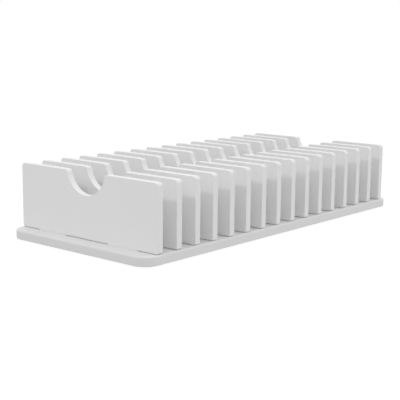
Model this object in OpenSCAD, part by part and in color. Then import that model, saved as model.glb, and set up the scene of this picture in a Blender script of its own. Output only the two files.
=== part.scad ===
// Desktop charging rack: one board with two rows of pockets, a row of equal
// upright dividers that plug into it, and six grip pads underneath.
// X runs along the row of dividers, Y across it, Z up. The origin is on the
// surface that the rack stands on, under the middle of the board.
// All lengths are in millimetres.

/* [Rack] */
// Number of dividers, one more than there are device slots
divider_count = 16; // [2:1:24]
// Clear width of a device slot between two dividers
slot_gap = 24; // [12:0.5:60]

/* [Dividers] */
// Thickness of a divider
divider_t = 9; // [5:0.5:18]
// Width of a divider, across the rack
divider_w = 240; // [210:1:360]
// Height of a divider above the board
divider_h = 84; // [60:1:200]
// Radius of a divider's two top corners
top_corner_r = 5; // [1:0.5:20]
// Radius of a divider's two bottom corners
foot_corner_r = 2; // [0.5:0.5:10]

/* [Cable notch] */
// Radius of the round notch in each top edge
notch_r = 34; // [32:0.5:60]
// Depth of the notch below the top edge
notch_depth = 29; // [12:0.5:30]
// Radius that rounds the two corners of the notch's mouth
notch_lip_r = 4; // [0.5:0.5:12]

/* [Plug-in tabs] */
// Width of one tab, across the rack
tab_w = 50; // [20:1:70]
// Distance between the middles of a divider's two tabs
tab_spacing = 125; // [80:1:150]
// Bevel that leads a tab's lower corners into the pocket
tab_lead = 1; // [0.2:0.1:3]
// Depth of a pocket in the board
pocket_depth = 8; // [4:0.5:9]
// Clearance between a tab's faces and the pocket, each side
tab_face_clearance = 0.15; // [0.05:0.05:0.5]
// Clearance between a tab's ends and the pocket, each end
tab_end_clearance = 0.25; // [0.05:0.05:1]
// Gap left under a divider beside its tabs, which stand on the pocket floors
shoulder_gap = 0.6; // [0.2:0.1:2]

/* [Board] */
// Thickness of the board
board_t = 12; // [10:0.5:25]
// Board left free past the first and the last divider
end_margin = 21; // [15:0.5:60]
// Board left free past the dividers' ends, each side
side_margin = 1.5; // [0:0.5:40]
// Radius of the board's four corners, seen from above
board_corner_r = 20; // [5:0.5:60]
// Radius that softens the board's upper edge
upper_edge_r = 2.5; // [0.5:0.25:4]
// Radius that softens the board's lower edge
lower_edge_r = 1; // [0.5:0.25:4]

/* [Grip pads] */
// Diameter of a grip pad
pad_d = 16; // [8:1:30]
// Thickness of a grip pad
pad_t = 2; // [1:0.5:6]
// Distance from the board's edges to the middle of a pad
pad_inset = 22; // [18:1:60]

/* [Hidden] */
pitch = divider_t + slot_gap;
row_l = (divider_count - 1) * pitch + divider_t;
board_l = row_l + 2 * end_margin;
board_w = divider_w + 2 * side_margin;
board_top_z = pad_t + board_t;
pocket_floor_z = board_top_z - pocket_depth;
tab_l = pocket_depth + shoulder_gap;
divider_body_h = divider_h - shoulder_gap;
pocket_t = divider_t + 2 * tab_face_clearance;
pocket_w = tab_w + 2 * tab_end_clearance;

// The notch's circle has its middle this far above the divider's top edge.
notch_rise = notch_r - notch_depth;
// Middle of the circle that rounds one corner of the notch's mouth. It touches
// the top edge from below and the notch's circle from outside.
lip_y = sqrt(pow(notch_r + notch_lip_r, 2) - pow(notch_rise + notch_lip_r, 2));

// Overlap that lets a cutting shape run past the face that it opens.
cut = 1;

// Each pad's name with its side along X and along Y.
PAD_PLACES = [
    ["front_left", -1, -1], ["front_middle", 0, -1], ["front_right", 1, -1],
    ["rear_left", -1, 1], ["rear_middle", 0, 1], ["rear_right", 1, 1]
];

function divider_name(n) = str("divider_", n < 10 ? "0" : "", n);
function pad_name(place) = str("foot_pad_", place[0]);
function divider_x(n) = (n - (divider_count + 1) / 2) * pitch;

$fn = 96;

// Half of the board's side profile, from its middle out to one soft edge:
// x runs outwards and y up, and the profile is length long.
module edge_profile(length) {
    square([length - upper_edge_r, board_t]);
    translate([0, lower_edge_r])
        square([length, board_t - upper_edge_r - lower_edge_r]);
    square([length - lower_edge_r, board_t / 2]);
    translate([length - upper_edge_r, board_t - upper_edge_r])
        circle(upper_edge_r);
    translate([length - lower_edge_r, lower_edge_r])
        circle(lower_edge_r);
}

// The board before its pockets are cut: a middle stretch, two end strips
// between the corners, and a quarter turn of the same profile at each corner.
module soft_board() {
    middle_l = board_l - 2 * board_corner_r;
    strip_w = board_w - 2 * board_corner_r;
    for (side = [0, 1])
        mirror([0, side, 0])
            rotate([90, 0, 90])
                translate([0, 0, -middle_l / 2])
                    linear_extrude(middle_l) edge_profile(board_w / 2);
    for (end = [0, 1])
        mirror([end, 0, 0])
            translate([middle_l / 2, strip_w / 2, 0])
                rotate([90, 0, 0])
                    linear_extrude(strip_w) edge_profile(board_corner_r);
    for (end = [0, 1])
        for (side = [0, 1])
            mirror([end, 0, 0])
                mirror([0, side, 0])
                    translate([middle_l / 2, strip_w / 2, 0])
                        rotate_extrude(angle = 90) edge_profile(board_corner_r);
}

module pocket(side) {
    translate([-pocket_t / 2, side * tab_spacing / 2 - pocket_w / 2, 0])
        cube([pocket_t, pocket_w, pocket_depth + cut]);
}

module base_board() {
    color("gainsboro")
        difference() {
            translate([0, 0, pad_t]) soft_board();
            for (n = [1 : divider_count])
                for (side = [-1, 1])
                    translate([divider_x(n), 0, pocket_floor_z]) pocket(side);
        }
}

// A rectangle of the given size that stands on y = 0, centred on x = 0, with
// its lower and upper corners rounded.
module rounded_panel(width, height, lower_r, upper_r) {
    difference() {
        translate([-width / 2, 0]) square([width, height]);
        for (side = [0, 1])
            mirror([side, 0]) {
                translate([width / 2 - upper_r, height - upper_r])
                    corner_waste(upper_r);
                translate([width / 2 - lower_r, lower_r])
                    mirror([0, 1]) corner_waste(lower_r);
            }
    }
}

// What is cut away at a corner to leave a round of radius r, whose middle is
// at the origin.
module corner_waste(r) {
    difference() {
        square(r + cut);
        circle(r);
    }
}

// The notch's outline, with y = 0 on the divider's top edge.
module notch_outline() {
    translate([0, notch_rise]) circle(notch_r);
    for (side = [0, 1])
        mirror([side, 0])
            difference() {
                polygon([[0, notch_rise + cut], [0, notch_rise],
                         [lip_y, -notch_lip_r], [lip_y, notch_rise + cut]]);
                translate([lip_y, -notch_lip_r]) circle(notch_lip_r);
            }
}

// One tab, with y = 0 on the divider's bottom edge.
module tab_outline() {
    half_w = tab_w / 2;
    polygon([[-half_w, cut], [-half_w, tab_lead - tab_l],
             [tab_lead - half_w, -tab_l], [half_w - tab_lead, -tab_l],
             [half_w, tab_lead - tab_l], [half_w, cut]]);
}

// A divider's flat outline, across the rack and up from its bottom edge.
module divider_outline() {
    difference() {
        rounded_panel(divider_w, divider_body_h, foot_corner_r, top_corner_r);
        translate([0, divider_body_h]) notch_outline();
    }
    for (side = [-1, 1])
        translate([side * tab_spacing / 2, 0]) tab_outline();
}

module divider(n) {
    color("whitesmoke")
        translate([divider_x(n) - divider_t / 2, 0, board_top_z + shoulder_gap])
            rotate([90, 0, 90])
                linear_extrude(divider_t) divider_outline();
}

module foot_pad(place) {
    pad_x = board_l / 2 - pad_inset;
    pad_y = board_w / 2 - pad_inset;
    color("dimgray")
        translate([place[1] * pad_x, place[2] * pad_y, 0])
            cylinder(d = pad_d, h = pad_t);
}

base_board();
for (n = [1 : divider_count])
    divider(n);
for (place = PAD_PLACES)
    foot_pad(place);
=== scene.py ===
# Looks of the desktop charging rack: a board, sixteen dividers that plug into it
# and six grip pads, in white coated sheet and dark rubber, on a pale floor in
# soft light. Lengths are in metres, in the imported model's own frame: X runs along
# the row of dividers, Y across it and Z up.

import math

import bmesh
import bpy
from mathutils import Matrix, Vector


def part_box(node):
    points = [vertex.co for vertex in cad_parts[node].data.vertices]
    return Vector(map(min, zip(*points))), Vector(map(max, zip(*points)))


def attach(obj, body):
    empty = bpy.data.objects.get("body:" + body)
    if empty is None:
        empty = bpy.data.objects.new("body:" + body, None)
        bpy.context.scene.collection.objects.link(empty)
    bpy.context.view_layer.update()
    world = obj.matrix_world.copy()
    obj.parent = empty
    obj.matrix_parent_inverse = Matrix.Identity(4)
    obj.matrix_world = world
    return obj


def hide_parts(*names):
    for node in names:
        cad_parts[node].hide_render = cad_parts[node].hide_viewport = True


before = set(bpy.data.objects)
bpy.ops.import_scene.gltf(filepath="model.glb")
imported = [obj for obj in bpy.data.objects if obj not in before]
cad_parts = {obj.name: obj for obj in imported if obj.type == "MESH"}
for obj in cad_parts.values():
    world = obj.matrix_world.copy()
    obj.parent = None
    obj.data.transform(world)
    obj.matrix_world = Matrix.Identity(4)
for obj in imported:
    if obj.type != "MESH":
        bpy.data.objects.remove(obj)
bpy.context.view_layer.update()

MM = 0.001
RACK_BODY = "rack_base"

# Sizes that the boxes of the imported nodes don't give
NOTCH_R = 34 * MM
NOTCH_DEPTH = 29 * MM
NOTCH_LIP_R = 4 * MM
TOP_CORNER_R = 5 * MM
FOOT_CORNER_R = 2 * MM
SHOULDER_GAP = 0.6 * MM
POCKET_DEPTH = 8 * MM
TAB_W = 50 * MM
TAB_L = POCKET_DEPTH + SHOULDER_GAP
TAB_SPACING = 125 * MM
TAB_LEAD = 1 * MM
TAB_FACE_CLEARANCE = 0.15 * MM
TAB_END_CLEARANCE = 0.25 * MM
BOARD_CORNER_R = 20 * MM
BOARD_UPPER_EDGE_R = 2.5 * MM
BOARD_LOWER_EDGE_R = 1 * MM

# Small rounds that the edges have after cutting, coating and moulding
DIVIDER_EDGE_R = 0.5 * MM
POCKET_EDGE_R = 0.3 * MM
PAD_EDGE_R = 0.4 * MM

# Steps that each round stretch is drawn in
NOTCH_STEPS = 26
LIP_STEPS = 8
TOP_CORNER_STEPS = 10
FOOT_CORNER_STEPS = 5
DIVIDER_EDGE_STEPS = 4
BOARD_CORNER_STEPS = 24
BOARD_UPPER_EDGE_STEPS = 8
BOARD_LOWER_EDGE_STEPS = 4
POCKET_EDGE_STEPS = 2
PAD_STEPS = 64
PAD_EDGE_STEPS = 4

# Shading: the sharpest turn that is smoothed over, and how much more than small
# faces the large ones count in it, where 50 is neutral
SMOOTH_LIMIT = math.radians(32)
LARGE_FACE_WEIGHT = 100

# Colours, from 0, black, to 1, white
PANEL_WHITE = 0.90
BOARD_WHITE = 0.82
CLOUD_SHADE = 0.02
CUTTER_LINE_SHADE = 0.05
RUBBER_GREY = 0.03
DUSTY_RUBBER_GREY = 0.07

# Gloss
SATIN_LOW = 0.46
SATIN_HIGH = 0.56
COAT_IOR = 1.46
RUBBER_ROUGHNESS = 0.75

# Patterns: how many times each repeats in a metre, and its levels of detail. The
# cutter's lines are stretched before they are drawn, so they repeat once.
CLOUDS = (9.0, 3.0)
SHEEN_SPECKS = (420.0, 2.0)
ORANGE_PEEL = (260.0, 2.0)
COAT_GRAIN = (2400.0, 1.0)
RUBBER_DUST = (300.0, 4.0)
CUTTER_LINES = (1.0, 2.0)
CUTTER_REPEATS_ALONG = 25.0
CUTTER_REPEATS_ACROSS = 1600.0
RUBBER_GRAIN_REPEATS = 1500.0

# Reliefs: the strength and the depth of each
ORANGE_PEEL_RELIEF = (0.5, 0.06 * MM)
COAT_GRAIN_RELIEF = (0.3, 0.02 * MM)
CUTTER_LINE_RELIEF = (0.5, 0.05 * MM)
RUBBER_GRAIN_RELIEF = (0.4, 0.08 * MM)

# How far a surface looks along the sheet's axis where its cut edge begins to
# fade, and where its face begins
CUT_EDGE_LIMIT = 0.5
FACE_LIMIT = 0.9

# Sky: the light that it gives evenly, what it adds towards four directions, and
# the level at which it shows
SKY_LEVEL = 0.28
SKY_LOBES = {
    "zenith": (Vector((0, 0, 1)), 0.49),
    "near_side": (Vector((0, -1, 0)), 0.36),
    "far_side": (Vector((1, 0, 0)), 0.75),
    "rear": (Vector((0, 1, 0)), 0.35),
}
WHITE_LEVEL = 1.0

# Floor: the light that it gives, and how it shows
FLOOR_HALF = 30.0
FLOOR_GLOW = 0.585
FLOOR_SHADOW_SHARE = 0.2
FLOOR_LIFT = 0.86

# Key light, a soft box high on the side of the first divider, with its angles in
# degrees
KEY_AIM = Vector((0, 0, 0.05))
KEY_DISTANCE = 3.0
KEY_AZIMUTH = -94.0
KEY_ELEVATION = 43.5
KEY_SIZE = 0.25
KEY_POWER = 11.2

# Camera, with its angles in degrees, and its lens and sensor in millimetres
CAMERA_PLACE = Vector((-1.0297, -0.8464, 0.2725))
CAMERA_AZIMUTH = -49.54
CAMERA_ELEVATION = 10.305
CAMERA_ROLL = 0.547
CAMERA_LENS = 85.65
SENSOR_WIDTH = 36.0


# Meshes

def arc(centre, radius, start, end, steps):
    """Points from the angle start to the angle end, in degrees, both kept."""
    points = []
    for i in range(steps + 1):
        angle = math.radians(start + (end - start) * i / steps)
        points.append((centre[0] + radius * math.cos(angle),
                       centre[1] + radius * math.sin(angle)))
    return points


def edge_round(radius, steps):
    """(inset, drop) pairs round an edge, from the side face to the flat face."""
    quarter = [math.pi / 2 * i / steps for i in range(steps + 1)]
    return [(radius * (1 - math.cos(a)), radius * (1 - math.sin(a)))
            for a in quarter]


def add_rings(bm, rings):
    """Adds closed rings of equal length and the quads between neighbours."""
    loops = [[bm.verts.new(point) for point in ring] for ring in rings]
    for lower, upper in zip(loops, loops[1:]):
        for i in range(len(lower)):
            j = (i + 1) % len(lower)
            bm.faces.new((lower[i], lower[j], upper[j], upper[i]))
    return loops


def solid_from_rings(rings):
    """A closed mesh: the rings joined in turn, with a face over each end."""
    bm = bmesh.new()
    loops = add_rings(bm, rings)
    bm.faces.new(loops[0])
    bm.faces.new(loops[-1])
    return bm


def new_object(name, data):
    item = bpy.data.objects.new(name, data)
    bpy.context.scene.collection.objects.link(item)
    return item


def add_piece(name, bm, material, body, node):
    """Turns a bmesh into a piece that stands for a CAD node."""
    bmesh.ops.recalc_face_normals(bm, faces=bm.faces)
    mesh = bpy.data.meshes.new(name)
    bm.to_mesh(mesh)
    bm.free()
    mesh.shade_smooth()
    mesh.set_sharp_from_angle(angle=SMOOTH_LIMIT)
    mesh.materials.append(material)
    piece = new_object(name, mesh)
    flat_faces = piece.modifiers.new("flat_faces", "WEIGHTED_NORMAL")
    flat_faces.keep_sharp = True
    flat_faces.weight = LARGE_FACE_WEIGHT
    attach(piece, body)
    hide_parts(node)


# Dividers

def tab_outline(foot, inset):
    """The tab on the positive side, from its outer to its inner shoulder."""
    tip = foot - TAB_L + inset
    slant = inset * (math.sqrt(2) - 1)
    outer = TAB_SPACING / 2 + TAB_W / 2 - inset
    inner = TAB_SPACING / 2 - TAB_W / 2 + inset
    lead = TAB_LEAD - inset + slant
    return [(outer, foot + inset), (outer, tip + lead), (outer - lead, tip),
            (inner + lead, tip), (inner, tip + lead), (inner, foot + inset)]


def divider_half_outline(top, foot, half_w, inset):
    """One half of a divider's outline in (y, z), from the notch's lowest point
    outwards and down to the middle of the bottom edge, drawn in by inset."""
    notch_z = top + NOTCH_R - NOTCH_DEPTH
    lip_z = top - NOTCH_LIP_R
    reach = NOTCH_R + NOTCH_LIP_R
    lip_y = math.sqrt(reach ** 2 - (notch_z - lip_z) ** 2)
    meet = math.degrees(math.atan2(lip_z - notch_z, lip_y))
    points = arc((0, notch_z), NOTCH_R + inset, -90, meet, NOTCH_STEPS)
    points += arc((lip_y, lip_z), NOTCH_LIP_R - inset, meet + 180, 90, LIP_STEPS)[1:]
    points += arc((half_w - TOP_CORNER_R, top - TOP_CORNER_R),
                  TOP_CORNER_R - inset, 90, 0, TOP_CORNER_STEPS)
    points += arc((half_w - FOOT_CORNER_R, foot + FOOT_CORNER_R),
                  FOOT_CORNER_R - inset, 0, -90, FOOT_CORNER_STEPS)
    points += tab_outline(foot, inset)
    points.append((0, foot + inset))
    return points


def divider_outline(top, foot, half_w, inset):
    half = divider_half_outline(top, foot, half_w, inset)
    return half + [(-y, z) for y, z in reversed(half[1:-1])]


def make_divider(node, material):
    low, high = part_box(node)
    foot = low.z + TAB_L
    half_t = (high.x - low.x) / 2
    middle = (high.x + low.x) / 2
    soft_edge = [(inset, half_t - drop)
                 for inset, drop in edge_round(DIVIDER_EDGE_R, DIVIDER_EDGE_STEPS)]
    layers = [(inset, -x) for inset, x in reversed(soft_edge)] + soft_edge
    rings = [[(middle + x, y, z)
              for y, z in divider_outline(high.z, foot, high.y, inset)]
             for inset, x in layers]
    add_piece(node.replace("divider", "panel"), solid_from_rings(rings), material,
              node, node)


# Board

def rounded_rectangle(half_l, half_w, radius, z):
    points = []
    for x, y, start in ((1, 1, 0), (-1, 1, 90), (-1, -1, 180), (1, -1, 270)):
        centre = (x * (half_l - radius), y * (half_w - radius))
        points += arc(centre, radius, start, start + 90, BOARD_CORNER_STEPS)
    return [(x, y, z) for x, y in points]


def board_rings(low, high):
    """The board's outline at each height, from its lower to its upper face."""
    lower_edge = edge_round(BOARD_LOWER_EDGE_R, BOARD_LOWER_EDGE_STEPS)
    upper_edge = edge_round(BOARD_UPPER_EDGE_R, BOARD_UPPER_EDGE_STEPS)
    layers = [(inset, low.z + drop) for inset, drop in reversed(lower_edge)]
    layers += [(inset, high.z - drop) for inset, drop in upper_edge]
    return [rounded_rectangle(high.x - inset, high.y - inset,
                              BOARD_CORNER_R - inset, z)
            for inset, z in layers]


def pocket_ring(x, y, half_l, half_w, z):
    return [(x + half_l, y + half_w, z), (x - half_l, y + half_w, z),
            (x - half_l, y - half_w, z), (x + half_l, y - half_w, z)]


def add_pocket(bm, x, y, half_l, top):
    """Adds a pocket with an eased mouth, and returns its rim in the top face."""
    half_w = TAB_W / 2 + TAB_END_CLEARANCE
    pocket_edge = edge_round(POCKET_EDGE_R, POCKET_EDGE_STEPS)
    rings = [pocket_ring(x, y, half_l + flare, half_w + flare, top - drop)
             for flare, drop in reversed(pocket_edge)]
    rings.append(pocket_ring(x, y, half_l, half_w, top - POCKET_DEPTH))
    loops = add_rings(bm, rings)
    bm.faces.new(loops[-1])
    return loops[0]


def fill_between(bm, rims):
    """Fills the flat face inside the first rim, and leaves the others open."""
    edges = [bm.edges.get((rim[i - 1], rim[i])) for rim in rims
             for i in range(len(rim))]
    bmesh.ops.triangle_fill(bm, use_beauty=True, edges=edges)


def make_board(dividers, material):
    low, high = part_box("base_board")
    bm = bmesh.new()
    loops = add_rings(bm, board_rings(low, high))
    bm.faces.new(loops[0])
    rims = [loops[-1]]
    for node in dividers:
        divider_low, divider_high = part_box(node)
        x = (divider_low.x + divider_high.x) / 2
        half_l = (divider_high.x - divider_low.x) / 2 + TAB_FACE_CLEARANCE
        for side in (-1, 1):
            y = side * TAB_SPACING / 2
            rims.append(add_pocket(bm, x, y, half_l, high.z))
    fill_between(bm, rims)
    add_piece("rack_board", bm, material, RACK_BODY, "base_board")


# Grip pads

def make_pad(node, material):
    low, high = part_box(node)
    centre = (low + high) / 2
    radius = (high.x - low.x) / 2
    profile = [(radius, high.z)]
    profile += [(radius - inset, low.z + drop)
                for inset, drop in edge_round(PAD_EDGE_R, PAD_EDGE_STEPS)]
    rings = [[(x, y, z) for x, y in arc(centre, r, 0, 360, PAD_STEPS)[:-1]]
             for r, z in profile]
    add_piece(node.replace("foot_pad", "grip_pad"), solid_from_rings(rings),
              material, RACK_BODY, node)


# Shader nodes

class Nodes:
    """The node tree of a material or world, with short calls to fill it."""

    def __init__(self, owner):
        owner.use_nodes = True
        self.owner = owner
        self.tree = owner.node_tree
        self.tree.nodes.clear()

    def feed(self, socket, value):
        """Sets a socket to a value, or links it to another node's output."""
        if isinstance(value, bpy.types.NodeSocket):
            self.tree.links.new(value, socket)
        else:
            socket.default_value = value

    def add(self, kind, settings=None, **inputs):
        """Adds a node. An input's name has _ for each space."""
        node = self.tree.nodes.new(kind)
        for key, value in (settings or {}).items():
            setattr(node, key, value)
        for name, value in inputs.items():
            self.feed(node.inputs[name.replace("_", " ")], value)
        return node

    def add_in_order(self, kind, values, settings=None):
        """Adds a node, and fills its inputs from the first one on."""
        node = self.add(kind, settings)
        for socket, value in zip(node.inputs, values):
            self.feed(socket, value)
        return node

    def calculate(self, operation, *values):
        settings = {"operation": operation}
        return self.add_in_order("ShaderNodeMath", values, settings).outputs[0]

    def mix_shaders(self, share, first, second):
        values = (share, first.outputs[0], second.outputs[0])
        return self.add_in_order("ShaderNodeMixShader", values).outputs[0]

    def mix_colours(self, share, first, second):
        mix = self.add("ShaderNodeMix", {"data_type": "RGBA"}, Factor=share)
        colour_sockets = [socket for socket in mix.inputs if socket.type == "RGBA"]
        for socket, colour in zip(colour_sockets, (first, second)):
            self.feed(socket, colour)
        return next(output for output in mix.outputs if output.type == "RGBA")

    def noise(self, place, pattern):
        scale, detail = pattern
        texture = self.add("ShaderNodeTexNoise", Vector=place, Scale=scale,
                           Detail=detail)
        return texture.outputs["Fac"]

    def relief(self, height, size, below=None):
        """A surface's direction under a relief, laid on the one below it."""
        strength, depth = size
        bump = self.add("ShaderNodeBump", Height=height, Strength=strength,
                        Distance=depth)
        if below is not None:
            self.feed(bump.inputs["Normal"], below)
        return bump.outputs["Normal"]


def new_material(name):
    return Nodes(bpy.data.materials.new(name))


def grey(level):
    return (level, level, level, 1)


# Materials

def cut_edge(n, direction, axis):
    """1 on the sheet's cut edges and 0 on its faces, which look along axis."""
    split = n.add("ShaderNodeSeparateXYZ", Vector=direction)
    along_axis = n.calculate("ABSOLUTE", split.outputs[axis])
    edge = n.add("ShaderNodeMapRange", {"interpolation_type": "SMOOTHSTEP"},
                 Value=along_axis, From_Min=CUT_EDGE_LIMIT, From_Max=FACE_LIMIT,
                 To_Min=1.0, To_Max=0.0)
    return edge.outputs["Result"]


def cutter_lines(n, texture, axis):
    """Fine lines that run along the cut edges, from 0 to 1."""
    repeats = [CUTTER_REPEATS_ALONG] * 3
    repeats["XYZ".index(axis)] = CUTTER_REPEATS_ACROSS
    spread = n.add("ShaderNodeMapping", Vector=texture.outputs["Object"],
                   Scale=repeats)
    lines = n.noise(spread.outputs["Vector"], CUTTER_LINES)
    return n.calculate("MULTIPLY", lines,
                       cut_edge(n, texture.outputs["Normal"], axis))


def sheet_material(name, white, axis):
    """White coated sheet whose faces look along axis: nearly even, with faint
    clouds in its colour, an uneven satin sheen, the fine orange peel of a sprayed
    coat, and traces of the cutter under the coat along its edges."""
    n = new_material(name)
    texture = n.add("ShaderNodeTexCoord")
    place = texture.outputs["Object"]
    marks = cutter_lines(n, texture, axis)
    faces = n.mix_colours(n.noise(place, CLOUDS), grey(white - CLOUD_SHADE),
                          grey(white))
    colour = n.mix_colours(marks, faces, grey(white - CUTTER_LINE_SHADE))
    sheen = n.add("ShaderNodeMapRange", Value=n.noise(place, SHEEN_SPECKS),
                  To_Min=SATIN_LOW, To_Max=SATIN_HIGH)
    peel = n.relief(n.noise(place, ORANGE_PEEL), ORANGE_PEEL_RELIEF)
    grained = n.relief(n.noise(place, COAT_GRAIN), COAT_GRAIN_RELIEF, peel)
    lined = n.relief(marks, CUTTER_LINE_RELIEF, grained)
    shader = n.add("ShaderNodeBsdfPrincipled", Base_Color=colour,
                   Roughness=sheen.outputs["Result"], IOR=COAT_IOR, Normal=lined)
    n.add("ShaderNodeOutputMaterial", Surface=shader.outputs["BSDF"])
    return n.owner


def rubber_material():
    """Dark grey moulded rubber, dusty and matte."""
    n = new_material("grip_rubber")
    place = n.add("ShaderNodeTexCoord").outputs["Object"]
    colour = n.mix_colours(n.noise(place, RUBBER_DUST), grey(RUBBER_GREY),
                           grey(DUSTY_RUBBER_GREY))
    grain = n.add("ShaderNodeTexVoronoi", Vector=place, Scale=RUBBER_GRAIN_REPEATS)
    grained = n.relief(grain.outputs["Distance"], RUBBER_GRAIN_RELIEF)
    shader = n.add("ShaderNodeBsdfPrincipled", Base_Color=colour,
                   Roughness=RUBBER_ROUGHNESS, Normal=grained)
    n.add("ShaderNodeOutputMaterial", Surface=shader.outputs["BSDF"])
    return n.owner


# Stage

def towards(azimuth, elevation):
    """Direction from the rack, by angles in degrees: azimuth 0 is to the front,
    along -Y, and 90 is to the right, along +X."""
    turn = math.radians(azimuth)
    rise = math.radians(elevation)
    return Vector((math.sin(turn) * math.cos(rise),
                   -math.cos(turn) * math.cos(rise),
                   math.sin(rise)))


def is_seen(n):
    """1 for rays that show the background, which are the camera's and those in
    gloss and glass, and 0 for rays that gather light for a matte surface."""
    path = n.add("ShaderNodeLightPath")
    in_gloss = n.calculate("MAXIMUM", path.outputs["Is Glossy Ray"],
                           path.outputs["Is Transmission Ray"])
    return n.calculate("MAXIMUM", path.outputs["Is Camera Ray"], in_gloss)


def add_lobe(n, level, view, direction, strength):
    """The level so far, plus a soft lobe of light around a direction."""
    facing = n.add_in_order("ShaderNodeVectorMath", (view, direction),
                            {"operation": "DOT_PRODUCT"})
    ahead = n.calculate("MAXIMUM", facing.outputs["Value"], 0.0)
    return n.calculate("MULTIPLY_ADD", ahead, strength, level)


def make_world():
    """A sky that lights the rack softly and shows as plain white."""
    n = Nodes(bpy.data.worlds.new("soft_sky"))
    view = n.add("ShaderNodeTexCoord").outputs["Generated"]
    level = SKY_LEVEL
    for direction, strength in SKY_LOBES.values():
        level = add_lobe(n, level, view, direction, strength)
    light = n.add("ShaderNodeBackground", Color=grey(1), Strength=level)
    white = n.add("ShaderNodeBackground", Color=grey(1), Strength=WHITE_LEVEL)
    n.add("ShaderNodeOutputWorld", Surface=n.mix_shaders(is_seen(n), light, white))
    bpy.context.scene.world = n.owner


def floor_material():
    """White to the eye with a faint shadow, and an even pale glow as light."""
    n = new_material("pale_floor")
    glow = n.add("ShaderNodeEmission", Color=grey(1), Strength=FLOOR_GLOW)
    shadow = n.add("ShaderNodeBsdfDiffuse", Color=grey(FLOOR_SHADOW_SHARE))
    lift = n.add("ShaderNodeEmission", Color=grey(1), Strength=FLOOR_LIFT)
    shown = n.add_in_order("ShaderNodeAddShader", (shadow.outputs[0], lift.outputs[0]))
    n.add("ShaderNodeOutputMaterial", Surface=n.mix_shaders(is_seen(n), glow, shown))
    return n.owner


def make_floor():
    mesh = bpy.data.meshes.new("floor")
    half = FLOOR_HALF
    mesh.from_pydata([(-half, -half, 0), (half, -half, 0), (half, half, 0),
                      (-half, half, 0)], [], [(0, 1, 2, 3)])
    mesh.materials.append(floor_material())
    new_object("floor", mesh)


def make_key_light():
    away = towards(KEY_AZIMUTH, KEY_ELEVATION)
    lamp = bpy.data.lights.new("key_light", "AREA")
    lamp.shape = "SQUARE"
    lamp.size = KEY_SIZE
    lamp.energy = KEY_POWER
    box = new_object("key_light", lamp)
    box.location = KEY_AIM + away * KEY_DISTANCE
    box.rotation_euler = (-away).to_track_quat("-Z", "Y").to_euler()


def make_camera():
    back = towards(CAMERA_AZIMUTH, CAMERA_ELEVATION)
    level = (-back).cross(Vector((0, 0, 1))).normalized()
    upright = level.cross(-back)
    roll = math.radians(CAMERA_ROLL)
    right = math.cos(roll) * level + math.sin(roll) * upright
    up = -math.sin(roll) * level + math.cos(roll) * upright
    data = bpy.data.cameras.new("photo_camera")
    data.lens = CAMERA_LENS
    data.sensor_width = SENSOR_WIDTH
    camera = new_object("photo_camera", data)
    turn = Matrix((right, up, back)).transposed().to_4x4()
    camera.matrix_world = Matrix.Translation(CAMERA_PLACE) @ turn
    bpy.context.scene.camera = camera


# Scene

bpy.context.scene.view_settings.view_transform = "Standard"
divider_nodes = sorted(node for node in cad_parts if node.startswith("divider_"))
pad_nodes = sorted(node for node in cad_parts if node.startswith("foot_pad_"))

panel_sheet = sheet_material("panel_sheet", PANEL_WHITE, "X")
board_sheet = sheet_material("board_sheet", BOARD_WHITE, "Z")
rubber = rubber_material()

for node in divider_nodes:
    make_divider(node, panel_sheet)
make_board(divider_nodes, board_sheet)
for node in pad_nodes:
    make_pad(node, rubber)

make_camera()
make_world()
make_floor()
make_key_light()
